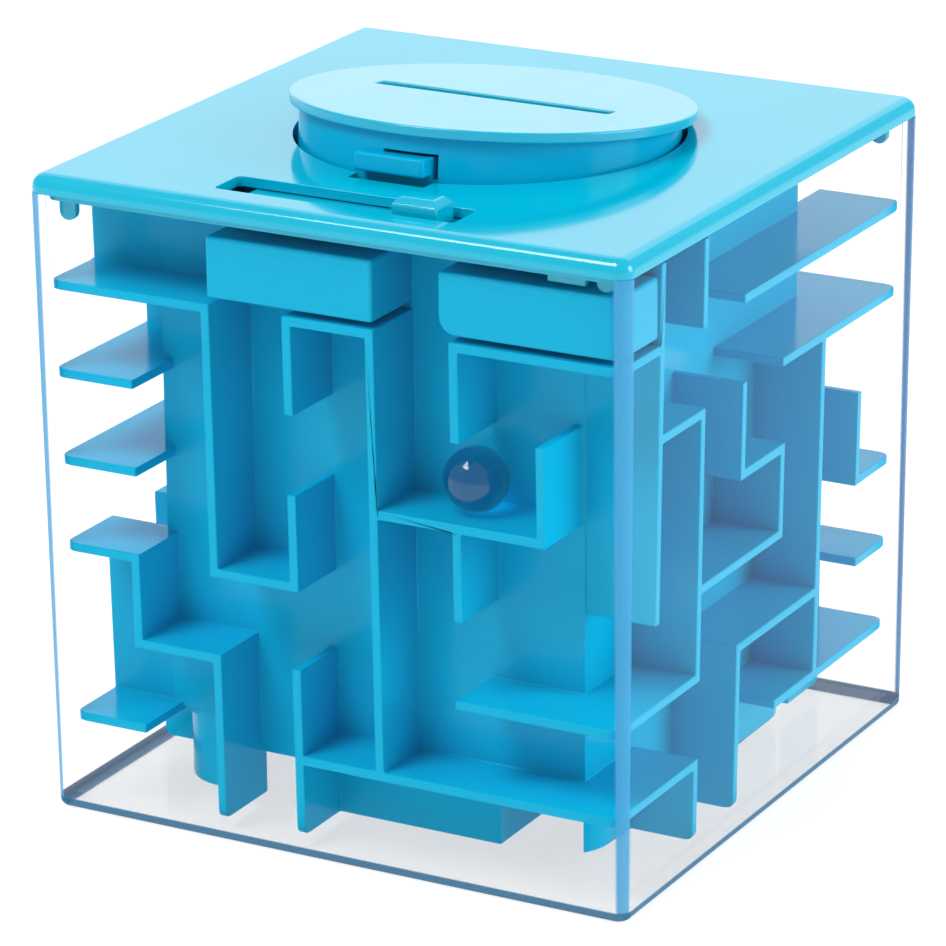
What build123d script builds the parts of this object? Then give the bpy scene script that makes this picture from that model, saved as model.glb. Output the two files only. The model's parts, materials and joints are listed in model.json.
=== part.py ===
"""Tilt maze cube: a clear box with a blue maze core, a snap-in lid, a hinged coin hatch, a slide latch
and one marble. Millimetres, +Z up. The origin is the centre of the clear box's base, the front is -Y.
The hatch is drawn shut and then turned to its rest angle, a few degrees ajar."""
import os
from math import atan, degrees, hypot

from build123d import *

# Clear box
BOX_TOP_HALF = 45.0
BOX_BASE_HALF = 44.42
BOX_HEIGHT = 88.57
BOX_WALL = 1.55
BOX_FLOOR = 1.8
BOX_CORNER = 2.0
BOX_FOOT_ROUND = 1.0

# Lid
LID_THICKNESS = 2.66
LID_TOP = BOX_HEIGHT + LID_THICKNESS
LID_CORNER = 2.2
LID_EDGE_ROUND = 1.9
HOLE_RADIUS = 27.0
HOLE_Y = 2.0
POCKET_CEILING = 89.8
SLOT_LOW = (-19.0, -39.5)
SLOT_HIGH = (17.0, -33.0)
RIM_HALF = 43.15
RIM_WALL = 1.0
RIM_DEPTH = 1.2
LEG_DEPTH = 4.0
LEG_DEPTH_OVER_GATE = 2.8
LEG_WIDTH = 2.6
LEG_INSET = 0.45
LEG_THICKNESS = 1.2

# Hatch, drawn shut
DISC_RADIUS = 27.9
DISC_Y = 2.64
DISC_BOTTOM = LID_TOP + 0.03
DISC_THICKNESS = 1.5
COIN_SLOT = (36.0, 2.6)
SKIRT_RADIUS = 26.2
SKIRT_WALL = 1.4
SKIRT_DEPTH = 8.0
LUG_X = (-5.4, 5.2)
LUG_Z = (86.0, 88.6)
LUG_FRONT = -26.4
LUG_CLEARANCE = 0.4
LUG_GAP_START = 3.4
LUG_GAP_WIDTH = 0.7
LUG_GAP_HEIGHT = 0.4
HINGE_Y = 28.2
HINGE_Z = 90.2
PIN_RADIUS = 0.7
PIN_CLEARANCE = 0.05
PIN_X = (8.4, 16.0)
EAR_X = (8.7, 11.5)
EAR_RADIUS = 1.25
BAY_HALF_WIDTH = 14.2
AJAR_DEG = 6.4

# Slide latch, drawn unlocked
BAR_Z = (POCKET_CEILING - 1.05, POCKET_CEILING - 0.15)
BAR_X = (-16.5, 24.4)
BAR_Y = (-41.0, -31.5)
TONGUE_X = (8.2, 24.0)
TONGUE_END = -25.2
KNOB_X = (7.4, 14.1)
KNOB_Y = (-38.7, -33.9)
KNOB_TOP = 93.2
KEEPER_Z = (87.4, BOX_HEIGHT)

# Maze core and its grid
PITCH = 12.5
GRID_HALF = 43.75
LID_LEVEL = 88.1
WALL = 1.3
CORE_HALF = 32.3
CORE_WALL = 1.4
CORE_TOP = 87.9
POST_TOP = 87.2
CORE_FOOT = 2.1
CORE_FLOOR_TOP = 13.1
FLOOR_THICKNESS = 1.4
SKIRT_CORNER = 7.0
WINDOW_TOP = 8.7
OUTER_HALF_LOW = 41.8
OUTER_TAPER = 0.0175
SHELF_CORNER = 1.6
GATE_Z = (77.1, 85.6)
GATE_FRONT = -43.0
GATE_LEFT_X = (-18.5, 6.7)
GATE_RIGHT_X = (16.5, 42.9)

# Ball
BALL_RADIUS = 4.5
BALL_X = 18.7
BALL_Y = -36.95

# Shelves as (level, first line, last line) and posts as (line, top level, bottom level), each face seen
# from outside with lines counted from its left. Level 0 is the lid and level 7 the box floor.
FRONT_SHELVES = [(1, 0, 2), (1, 3, 4), (1, 5, 7), (2, 0, 1), (3, 0, 1), (3, 4, 6), (4, 0, 1), (4, 2, 3),
                 (5, 1, 2), (5, 5, 7), (6, 0, 1), (6, 3, 7)]
FRONT_POSTS = [(1, 4, 5), (2, 1, 4), (2, 5, 7), (3, 1, 2), (3, 3, 4), (3, 5, 7), (4, 1, 6), (5, 1, 2),
               (5, 3, 4), (6, 2, 3)]
RIGHT_SHELVES = [(1, 0, 1), (1, 3, 7), (2, 1, 2), (2, 4, 7), (3, 3, 4), (4, 2, 4), (5, 0, 2), (5, 3, 5),
                 (6, 0, 2), (6, 4, 7)]
RIGHT_POSTS = [(1, 0, 4), (2, 0, 1), (2, 2, 5), (2, 6, 7), (3, 2, 3), (3, 5, 7), (4, 3, 4), (5, 2, 6),
               (6, 3, 4)]
BACK_SHELVES = [(1, 0, 1), (1, 2, 4), (2, 0, 3), (2, 5, 6), (3, 3, 5), (4, 0, 2), (4, 4, 6), (5, 0, 4),
                (5, 6, 7), (6, 0, 1), (6, 3, 6)]
BACK_POSTS = [(1, 5, 7), (2, 4, 5), (2, 0, 1), (3, 1, 3), (4, 3, 4), (5, 1, 3), (5, 4, 6), (6, 1, 2),
              (6, 4, 5)]
LEFT_SHELVES = [(1, 4, 7), (1, 0, 2), (2, 5, 7), (2, 1, 3), (3, 3, 7), (4, 6, 7), (4, 3, 5), (5, 1, 4),
                (6, 5, 7), (6, 0, 3)]
LEFT_POSTS = [(6, 0, 1), (5, 1, 2), (6, 4, 6), (5, 4, 5), (5, 6, 7), (4, 1, 3), (3, 4, 5), (3, 6, 7),
              (2, 2, 4), (1, 3, 5)]

TINY = 1e-6


def block(x, y, z):
    """A box between two limits on each axis."""
    size = [high - low for low, high in (x, y, z)]
    centre = [(high + low) / 2 for low, high in (x, y, z)]
    return Pos(*centre) * Box(*size)


def plate(half, corner, bottom, top, centre=(0, 0)):
    """A square plate with round corners between two heights."""
    outline = Pos(centre[0], centre[1], bottom) * RectangleRounded(2 * half, 2 * half, corner)
    return extrude(outline, top - bottom)


def disc(radius, bottom, top, y=0.0, x=0.0):
    """A round plate between two heights."""
    return Pos(x, y, bottom) * Cylinder(radius, top - bottom, align=(Align.CENTER, Align.CENTER, Align.MIN))


def rod(radius, x, y, z):
    """A cylinder that lies along X."""
    low, high = x
    return Pos((low + high) / 2, y, z) * Rot(0, 90, 0) * Cylinder(radius, high - low)


def line(index):
    """Where a grid line lies across a face."""
    return PITCH * index - GRID_HALF


def level(index):
    """How high a grid level lies."""
    return LID_LEVEL - PITCH * index


def outer_half(height):
    """How far the maze reaches from the axis at a height, inside the tapered box."""
    return OUTER_HALF_LOW + OUTER_TAPER * height


def clear_box():
    """The clear shell: slightly wider at its open top, with round corners and foot."""
    draft = degrees(atan((BOX_TOP_HALF - BOX_BASE_HALF) / BOX_HEIGHT))
    footprint = RectangleRounded(2 * BOX_BASE_HALF, 2 * BOX_BASE_HALF, BOX_CORNER)
    outer = extrude(footprint, BOX_HEIGHT, taper=-draft)
    foot = outer.faces().sort_by(Axis.Z)[0].edges()
    outer = fillet(foot, BOX_FOOT_ROUND)
    inner_base = BOX_BASE_HALF - BOX_WALL
    inner_outline = Pos(0, 0, BOX_FLOOR) * RectangleRounded(2 * inner_base, 2 * inner_base, BOX_CORNER - 1.0)
    return outer - extrude(inner_outline, BOX_HEIGHT, taper=-draft)


def hinge_bay():
    """The window at the back of the hatch hole that the disc's back edge swings into."""
    arc_radius = 44.0
    arc_y = 32.3 - arc_radius
    window = block((-BAY_HALF_WIDTH, BAY_HALF_WIDTH), (HOLE_Y + 20, HOLE_Y + 40), (80, 100))
    return window & disc(arc_radius, 80, 100, arc_y)


def lid_plate():
    """The lid's top: hatch hole, hinge bay, lug notch, latch slot and the latch bar's pocket."""
    lid = plate(BOX_TOP_HALF, LID_CORNER, BOX_HEIGHT, LID_TOP)
    top_edges = lid.faces().sort_by(Axis.Z)[-1].edges()
    lid = fillet(top_edges, LID_EDGE_ROUND)
    lid -= disc(HOLE_RADIUS, 80, 100, HOLE_Y)
    lid -= hinge_bay()
    notch_x = (LUG_X[0] - LUG_CLEARANCE, LUG_X[1] + LUG_CLEARANCE)
    lid -= block(notch_x, (LUG_FRONT - LUG_CLEARANCE, HOLE_Y), (80, 100))
    slot_size = [high - low for low, high in zip(SLOT_LOW, SLOT_HIGH)]
    slot_centre = [(high + low) / 2 for low, high in zip(SLOT_LOW, SLOT_HIGH)]
    lid -= extrude(Pos(*slot_centre, BOX_HEIGHT) * RectangleRounded(*slot_size, 0.8), LID_THICKNESS)
    lid -= block((-42.1, 26.8), (-41.5, -30.0), (BOX_HEIGHT - 1, POCKET_CEILING))
    lid -= block((-20.0, 26.8), (-30.5, HOLE_Y - 20), (BOX_HEIGHT - 1, POCKET_CEILING))
    for side in (-1, 1):
        ends = sorted((side * (BAY_HALF_WIDTH - 1), side * PIN_X[1]))
        lid -= rod(PIN_RADIUS, ends, HINGE_Y, HINGE_Z)
    return lid


def lid_locating_rim():
    """The low rim under the lid that centres it in the clear box."""
    outer = plate(RIM_HALF, BOX_CORNER - 1.0, BOX_HEIGHT - RIM_DEPTH, BOX_HEIGHT)
    return outer - plate(RIM_HALF - RIM_WALL, 0.6, BOX_HEIGHT - 2 * RIM_DEPTH, BOX_HEIGHT + 1)


def lid_corner_legs():
    """Four legs with round ends that reach down inside the box's corners."""
    inner = RIM_HALF - RIM_WALL
    legs = []
    for side_x in (-1, 1):
        for side_y in (-1, 1):
            x = sorted((side_x * (inner - LEG_INSET), side_x * (inner - LEG_INSET - LEG_WIDTH)))
            y = sorted((side_y * inner, side_y * (inner - LEG_THICKNESS)))
            depth = LEG_DEPTH_OVER_GATE if (side_x, side_y) == (1, -1) else LEG_DEPTH
            leg = block(x, y, (BOX_HEIGHT - depth, BOX_HEIGHT))
            ends = leg.faces().sort_by(Axis.Z)[0].edges().filter_by(Axis.Y)
            legs.append(fillet(ends, 1.2))
    return Compound(legs)


def lid_front_rib():
    """A short stiffening rib behind the lid's front edge."""
    return block((32.0, 37.6), (RIM_WALL - RIM_HALF, RIM_WALL - RIM_HALF + 1.1), (86.2, BOX_HEIGHT))


def hatch_disc():
    """The cap's round plate with its coin slot."""
    cap = disc(DISC_RADIUS, DISC_BOTTOM, DISC_BOTTOM + DISC_THICKNESS, DISC_Y)
    rims = cap.edges().filter_by(GeomType.CIRCLE)
    cap = fillet(rims, 0.3)
    slot = Pos(0, DISC_Y, DISC_BOTTOM - 1) * RectangleRounded(*COIN_SLOT, 0.5)
    return cap - extrude(slot, DISC_THICKNESS + 2)


def hatch_skirt():
    """The ring under the cap that drops into the lid's hole, with the gap above its spring lug."""
    bottom = DISC_BOTTOM - SKIRT_DEPTH
    ring = disc(SKIRT_RADIUS, bottom, DISC_BOTTOM, HOLE_Y)
    ring -= disc(SKIRT_RADIUS - SKIRT_WALL, bottom - 1, DISC_BOTTOM + 1, HOLE_Y)
    front = (HOLE_Y - SKIRT_RADIUS - 2, HOLE_Y - SKIRT_RADIUS + 6)
    gap_top = LUG_Z[1] + LUG_GAP_HEIGHT
    ring -= block((LUG_X[0] + LUG_GAP_START, LUG_X[1] + LUG_GAP_WIDTH), front, (LUG_Z[1], gap_top))
    ring -= block((LUG_X[1], LUG_X[1] + LUG_GAP_WIDTH), front, (LUG_Z[0] - LUG_CLEARANCE, gap_top))
    return ring


def hatch_latch_lug():
    """The lug on the skirt's front that the latch tongue slides over."""
    lug = block(LUG_X, (LUG_FRONT, HOLE_Y - 18), LUG_Z)
    lug -= disc(SKIRT_RADIUS, 80, 100, HOLE_Y)
    front = lug.faces().sort_by(Axis.Y)[0].edges()
    return fillet(front, 0.4)


def hatch_hinge_ears():
    """Two ears under the back of the cap, each bored for its stub pin."""
    ears = []
    for side in (-1, 1):
        x = sorted((side * EAR_X[0], side * EAR_X[1]))
        ear = rod(EAR_RADIUS, x, HINGE_Y, HINGE_Z)
        ear += block(x, (HINGE_Y - EAR_RADIUS, HINGE_Y), (HINGE_Z, DISC_BOTTOM))
        ear -= block(x, (0, 50), (DISC_BOTTOM, 100))
        ear -= rod(PIN_RADIUS + PIN_CLEARANCE, (x[0] - 1, x[1] + 1), HINGE_Y, HINGE_Z)
        ears.append(ear)
    return Compound(ears)


def hinge_pins():
    """Two stub pins, held in the sides of the hinge bay, that the hatch turns on."""
    pins = []
    for side in (-1, 1):
        ends = sorted((side * PIN_X[0], side * PIN_X[1]))
        pins.append(rod(PIN_RADIUS, ends, HINGE_Y, HINGE_Z))
    return Compound(pins)


def latch_bar():
    """The flat bar in the lid's pocket."""
    return block(BAR_X, BAR_Y, BAR_Z)


def latch_tongue():
    """The tongue that reaches from the bar over the hatch's lug."""
    tongue = block(TONGUE_X, (BAR_Y[1], TONGUE_END), BAR_Z)
    tip = tongue.edges().filter_by(Axis.Z).sort_by(Axis.Y)[:0:-1][:2]
    return fillet(tip, 1.2)


def latch_knob():
    """The bevelled finger knob that stands out of the lid's slot."""
    knob = block(KNOB_X, KNOB_Y, (BAR_Z[1], KNOB_TOP))
    top = knob.faces().sort_by(Axis.Z)[-1].edges()
    return chamfer(top, 0.9)


def latch_keeper():
    """The strip under the lid that holds the latch bar up."""
    return block((-37.5, 29.0), (0.25 + RIM_WALL - RIM_HALF, -32.5), KEEPER_Z)


def core_shell():
    """The square tube inside the maze: its inside is the money compartment."""
    tube = block((-CORE_HALF, CORE_HALF), (-CORE_HALF, CORE_HALF), (CORE_FLOOR_TOP, CORE_TOP))
    inner = CORE_HALF - CORE_WALL
    return tube - block((-inner, inner), (-inner, inner), (CORE_FLOOR_TOP - 1, CORE_TOP + 1))


def core_skirt():
    """The core's foot: a ring with round corners, standing just above the box floor, with windows."""
    ring = plate(CORE_HALF, SKIRT_CORNER, CORE_FOOT, CORE_FLOOR_TOP)
    ring -= plate(CORE_HALF - CORE_WALL, SKIRT_CORNER - CORE_WALL, CORE_FOOT - 1, CORE_FLOOR_TOP + 1)
    half = WALL / 2
    window_z = (CORE_FOOT - 1, WINDOW_TOP)
    front_depth = (-CORE_HALF - 1, -CORE_HALF + 3)
    for first, last in ((2, 3), (5, 6)):
        ring -= block((line(first) + half, line(last) - half), front_depth, window_z)
    ring -= block((-PITCH / 2, PITCH / 2), (CORE_HALF - 3, CORE_HALF + 1), window_z)
    ring -= block((-CORE_HALF - 1, -CORE_HALF + 3), (line(4) + half, line(5) - half), window_z)
    return ring


def core_floor():
    """The floor of the money compartment, inside the top of the core's foot."""
    half = CORE_HALF - CORE_WALL
    return plate(half, SKIRT_CORNER - CORE_WALL, CORE_FLOOR_TOP - FLOOR_THICKNESS, CORE_FLOOR_TOP)


def under_core_ribs():
    """Stiffening ribs under the floor."""
    half = WALL / 2
    inner = CORE_HALF - CORE_WALL
    height = (CORE_FOOT, CORE_FLOOR_TOP - FLOOR_THICKNESS)
    ribs = [block((line(5) - half, line(5) + half), (-inner, line(4)), height),
            block((line(2) - half, line(2) + half), (line(3), inner), height),
            block((line(3), line(4)), (-half, half), height)]
    return Compound(ribs)


def gate_block(x, rounded):
    """A solid block at the top of the front lanes, with round lower or outer corners."""
    body = block(x, (GATE_FRONT, -CORE_HALF), GATE_Z)
    if rounded:
        outer = body.edges().filter_by(Axis.Z).sort_by(Axis.Y)[:2]
        body = fillet(outer, 1.5)
        low = body.faces().sort_by(Axis.Z)[0].edges().filter_by(Axis.Y)
        return fillet(low.sort_by(Axis.X)[0], 2.4)
    return fillet(body.edges().filter_by(Axis.Y), 0.6)


def shelf_spans(shelf, posts):
    """The runs of one shelf between the posts that cross or end it."""
    height, first, last = shelf
    crossed = [post[0] for post in posts if first <= post[0] <= last and post[1] <= height <= post[2]]
    spans = []
    start = line(first) + (WALL / 2 if first in crossed else -WALL / 2)
    for cut in sorted(crossed):
        if first < cut:
            spans.append((start, line(cut) - WALL / 2))
            start = line(cut) + WALL / 2
    if last not in crossed:
        spans.append((start, line(last) + WALL / 2))
    return spans


def maze_walls(shelves, posts, turn, owns_corners):
    """One face's shelves and posts, drawn on the front face and turned about Z. Two faces own the corner
    columns, and the other two stop level with the core."""
    walls = []
    for shelf in shelves:
        height = level(shelf[0])
        reach = outer_half(height)
        limit = reach if owns_corners else CORE_HALF
        for low, high in shelf_spans(shelf, posts):
            low = max(low, -limit)
            high = min(high, limit)
            if high - low > TINY:
                shelf_z = (height - WALL / 2, height + WALL / 2)
                run = block((low, high), (-reach, -CORE_HALF), shelf_z)
                walls.append(run & plate(reach, SHELF_CORNER, *shelf_z))
    for index, top_level, bottom_level in posts:
        top = POST_TOP if top_level == 0 else level(top_level) + WALL / 2
        bottom = CORE_FOOT if bottom_level == 7 else level(bottom_level) - WALL / 2
        corners = [(-CORE_HALF, bottom), (-outer_half(bottom), bottom), (-outer_half(top), top),
                   (-CORE_HALF, top)]
        side = make_face(Plane.YZ * Polyline(*corners, close=True))
        walls.append(Pos(line(index) - WALL / 2, 0, 0) * extrude(side, WALL, dir=(1, 0, 0)))
    return Compound([Rot(0, 0, turn) * wall for wall in walls])


def ball():
    """The marble, resting on its shelf."""
    return Pos(BALL_X, BALL_Y, level(3) + WALL / 2 + BALL_RADIUS + 0.02) * Sphere(BALL_RADIUS)


def check_hatch_swing():
    """The hatch's furthest points have to clear the hole that they swing through."""
    skirt_foot = hypot(HOLE_Y - SKIRT_RADIUS - HINGE_Y, DISC_BOTTOM - SKIRT_DEPTH - HINGE_Z)
    lug_foot = hypot(LUG_FRONT - HINGE_Y, LUG_Z[0] - HINGE_Z)
    print("skirt swing clearance", round(HINGE_Y - HOLE_Y + HOLE_RADIUS - skirt_foot, 2))
    print("lug swing clearance", round(HINGE_Y - LUG_FRONT + LUG_CLEARANCE - lug_foot, 2))


def main():
    """Build every piece, turn the hatch ajar and write one STEP file for each."""
    ajar = Axis((0, HINGE_Y, HINGE_Z), (-1, 0, 0))
    hatch = {"hatch_disc": hatch_disc(), "hatch_skirt": hatch_skirt(), "hatch_latch_lug": hatch_latch_lug(),
             "hatch_hinge_ears": hatch_hinge_ears()}
    pieces = {
        "clear_box": clear_box(),
        "lid_plate": lid_plate(),
        "lid_locating_rim": lid_locating_rim(),
        "lid_corner_legs": lid_corner_legs(),
        "lid_front_rib": lid_front_rib(),
        "hinge_pins": hinge_pins(),
        "latch_bar": latch_bar(),
        "latch_tongue": latch_tongue(),
        "latch_knob": latch_knob(),
        "latch_keeper": latch_keeper(),
        "core_shell": core_shell(),
        "core_skirt": core_skirt(),
        "core_floor": core_floor(),
        "under_core_ribs": under_core_ribs(),
        "gate_block_left": gate_block(GATE_LEFT_X, False),
        "gate_block_right": gate_block(GATE_RIGHT_X, True),
        "front_maze_walls": maze_walls(FRONT_SHELVES, FRONT_POSTS, 0, True),
        "right_maze_walls": maze_walls(RIGHT_SHELVES, RIGHT_POSTS, 90, False),
        "back_maze_walls": maze_walls(BACK_SHELVES, BACK_POSTS, 180, True),
        "left_maze_walls": maze_walls(LEFT_SHELVES, LEFT_POSTS, 270, False),
        "ball": ball(),
    }
    for name, piece in hatch.items():
        pieces[name] = piece.rotate(ajar, AJAR_DEG)
    os.makedirs("parts", exist_ok=True)
    for name, piece in pieces.items():
        export_step(piece, os.path.join("parts", name + ".step"))
    check_hatch_swing()


main()
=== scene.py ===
"""Tilt maze game: a clear cube with a blue maze core, a snap-in lid, a hinged coin hatch, a slide latch
and one marble. Every piece is drawn in millimetres, in the frame's own place, and written in metres."""
from __future__ import annotations

import json
import logging
import math
from dataclasses import dataclass
from enum import Enum
from typing import Callable, Iterable, Sequence

import bmesh
import bpy
from mathutils import Matrix, Vector

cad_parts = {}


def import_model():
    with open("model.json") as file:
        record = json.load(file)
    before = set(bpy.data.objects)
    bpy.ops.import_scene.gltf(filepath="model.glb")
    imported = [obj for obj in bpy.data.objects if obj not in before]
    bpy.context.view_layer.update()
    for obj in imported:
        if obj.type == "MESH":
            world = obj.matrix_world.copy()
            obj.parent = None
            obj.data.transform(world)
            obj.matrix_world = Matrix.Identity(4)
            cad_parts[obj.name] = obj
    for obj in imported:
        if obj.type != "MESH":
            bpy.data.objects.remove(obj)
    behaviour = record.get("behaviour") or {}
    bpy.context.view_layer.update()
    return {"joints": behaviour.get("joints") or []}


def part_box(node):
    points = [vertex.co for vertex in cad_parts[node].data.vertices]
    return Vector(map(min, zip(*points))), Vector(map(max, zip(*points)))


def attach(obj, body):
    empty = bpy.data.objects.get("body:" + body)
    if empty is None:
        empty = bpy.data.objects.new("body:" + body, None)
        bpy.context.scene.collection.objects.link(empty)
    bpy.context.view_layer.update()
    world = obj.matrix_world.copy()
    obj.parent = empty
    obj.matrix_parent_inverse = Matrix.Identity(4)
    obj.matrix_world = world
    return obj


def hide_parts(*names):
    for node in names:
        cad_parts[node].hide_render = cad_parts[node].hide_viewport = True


LOG = logging.getLogger("tilt_maze")
MM = 0.001

Point = tuple[float, float, float]
Span = tuple[float, float]
Colour = tuple[float, float, float]


class Mix(Enum):
    """How one shape is combined with another."""

    UNION = "UNION"
    DIFFERENCE = "DIFFERENCE"


class Body(Enum):
    """The frame's moving bodies."""

    CASE = "case"
    HATCH = "hatch"
    LATCH = "latch"
    MARBLE = "marble"


class Slot(Enum):
    """The record's material slots."""

    BLUE = "blue_plastic"
    LID = "lid_plastic"
    CAP = "cap_plastic"
    CLEAR = "clear_plastic"
    MARBLE = "teal_glass"
    STEEL = "pin_steel"


class Wire:
    """A node's output, on which arithmetic adds Math nodes."""

    def __init__(self, sheet: "NodeSheet", socket: bpy.types.NodeSocket) -> None:
        """Keep the sheet and the socket.

        Args:
            sheet: the sheet that new nodes are added to.
            socket: the output that the wire leaves from.
        """
        self.sheet = sheet
        self.socket = socket

    def _math(self, operation: str, first: "Wire | float", second: "Wire | float") -> "Wire":
        """Add one Math node.

        Args:
            operation: the Math node's operation.
            first: its first value.
            second: its second value.

        Returns:
            The node's result.
        """
        return self.sheet.add("ShaderNodeMath", {"operation": operation}, {0: first, 1: second})

    def __add__(self, other: "Wire | float") -> "Wire":
        """The wire plus a value."""
        return self._math("ADD", self, other)

    def __radd__(self, other: float) -> "Wire":
        """A number plus the wire."""
        return self._math("ADD", other, self)

    def __sub__(self, other: "Wire | float") -> "Wire":
        """The wire minus a value."""
        return self._math("SUBTRACT", self, other)

    def __rsub__(self, other: float) -> "Wire":
        """A number minus the wire."""
        return self._math("SUBTRACT", other, self)

    def __mul__(self, other: "Wire | float") -> "Wire":
        """The wire times a value."""
        return self._math("MULTIPLY", self, other)

    def __rmul__(self, other: float) -> "Wire":
        """A number times the wire."""
        return self._math("MULTIPLY", other, self)

    def __pow__(self, other: "Wire | float") -> "Wire":
        """The wire to a power."""
        return self._math("POWER", self, other)

    def absolute(self) -> "Wire":
        """The wire without its sign."""
        return self._math("ABSOLUTE", self, 0.0)

    def greatest(self, other: "Wire | float") -> "Wire":
        """The greater of the wire and a value."""
        return self._math("MAXIMUM", self, other)


class NodeSheet:
    """A material's or world's node tree, emptied and ready to be wired."""

    def __init__(self, tree: bpy.types.NodeTree) -> None:
        """Empty the tree.

        Args:
            tree: the node tree to fill.
        """
        self.tree = tree
        tree.nodes.clear()

    def add(self, kind: str, settings: dict, sockets: dict, output: int | str = 0) -> Wire:
        """Add any node.

        Args:
            kind: the node's type.
            settings: its properties, set first.
            sockets: values or wires for its inputs, by name or index.
            output: the output to return.

        Returns:
            A wire from that output.
        """
        node = self.tree.nodes.new(kind)
        for name, value in settings.items():
            setattr(node, name, value)
        for key, value in sockets.items():
            if isinstance(value, Wire):
                self.tree.links.new(value.socket, node.inputs[key])
            else:
                node.inputs[key].default_value = value
        return Wire(self, node.outputs[output]) if len(node.outputs) else None

    def object_noise(self, per_mm: float, detail: float, seed: Point = (0, 0, 0)) -> Wire:
        """Noise that is fixed to the piece.

        Args:
            per_mm: cells in a millimetre.
            detail: octaves.
            seed: a shift of the pattern, in metres.

        Returns:
            The noise, from 0 to 1.
        """
        place = self.add("ShaderNodeTexCoord", {}, {}, "Object")
        moved = self.add("ShaderNodeMapping", {}, {"Vector": place, "Location": seed})
        return self.add("ShaderNodeTexNoise", {}, {"Vector": moved, "Scale": per_mm / MM, "Detail": detail})

    def bump(self, height: Wire, strength: float, depth_mm: float, under: Wire | None = None) -> Wire:
        """Turn a height into a normal.

        Args:
            height: the height, from 0 to 1.
            strength: the bump's strength.
            depth_mm: how deep the full height is.
            under: a coarser normal that this one is laid on.

        Returns:
            The normal.
        """
        sockets: dict = {"Height": height, "Strength": strength, "Distance": depth_mm * MM}
        if under is not None:
            sockets["Normal"] = under
        return self.add("ShaderNodeBump", {}, sockets)

    def output(self, surface: Wire, kind: str = "ShaderNodeOutputMaterial") -> None:
        """Wire a shader to the output.

        Args:
            surface: the finished shader.
            kind: the output node's type.
        """
        self.add(kind, {}, {"Surface": surface})


@dataclass(frozen=True)
class MouldedPlastic:
    """Glossy injection-moulded plastic with faint sink waves, flow mottling and handling haze."""

    name: str
    colour: Colour
    roughness: float = 0.16
    wave_mm: float = 0.012
    grain_mm: float = 0.0012
    haze: float = 0.10
    mottle: float = 0.06
    specular: float = 0.5

    def build(self) -> bpy.types.Material:
        """Make the material.

        Returns:
            The finished material.
        """
        material = bpy.data.materials.new(self.name)
        material.use_nodes = True
        sheet = NodeSheet(material.node_tree)
        flow = sheet.object_noise(0.045, 2.0)
        haze = sheet.object_noise(0.16, 3.0, (0.3, 0.1, 0.2))
        grain = sheet.object_noise(2.6, 2.0, (0.1, 0.5, 0.4))
        wave = sheet.object_noise(0.055, 1.0, (0.7, 0.2, 0.6))
        dark = tuple(channel * (1 - self.mottle) for channel in self.colour)
        light = tuple(min(1.0, channel * (1 + self.mottle)) for channel in self.colour)
        tone = sheet.add("ShaderNodeMix", {"data_type": "RGBA"},
                         {"Factor": flow, 6: (*dark, 1.0), 7: (*light, 1.0)}, 2)
        coarse = sheet.bump(wave, 1.0, self.wave_mm)
        fine = sheet.bump(grain, 1.0, self.grain_mm, coarse)
        rough = haze * self.haze + (self.roughness - self.haze / 2)
        shader = sheet.add("ShaderNodeBsdfPrincipled", {}, {
            "Base Color": tone, "Roughness": rough, "Normal": fine, "IOR": 1.52,
            "Specular IOR Level": self.specular})
        sheet.output(shader)
        return material


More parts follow.
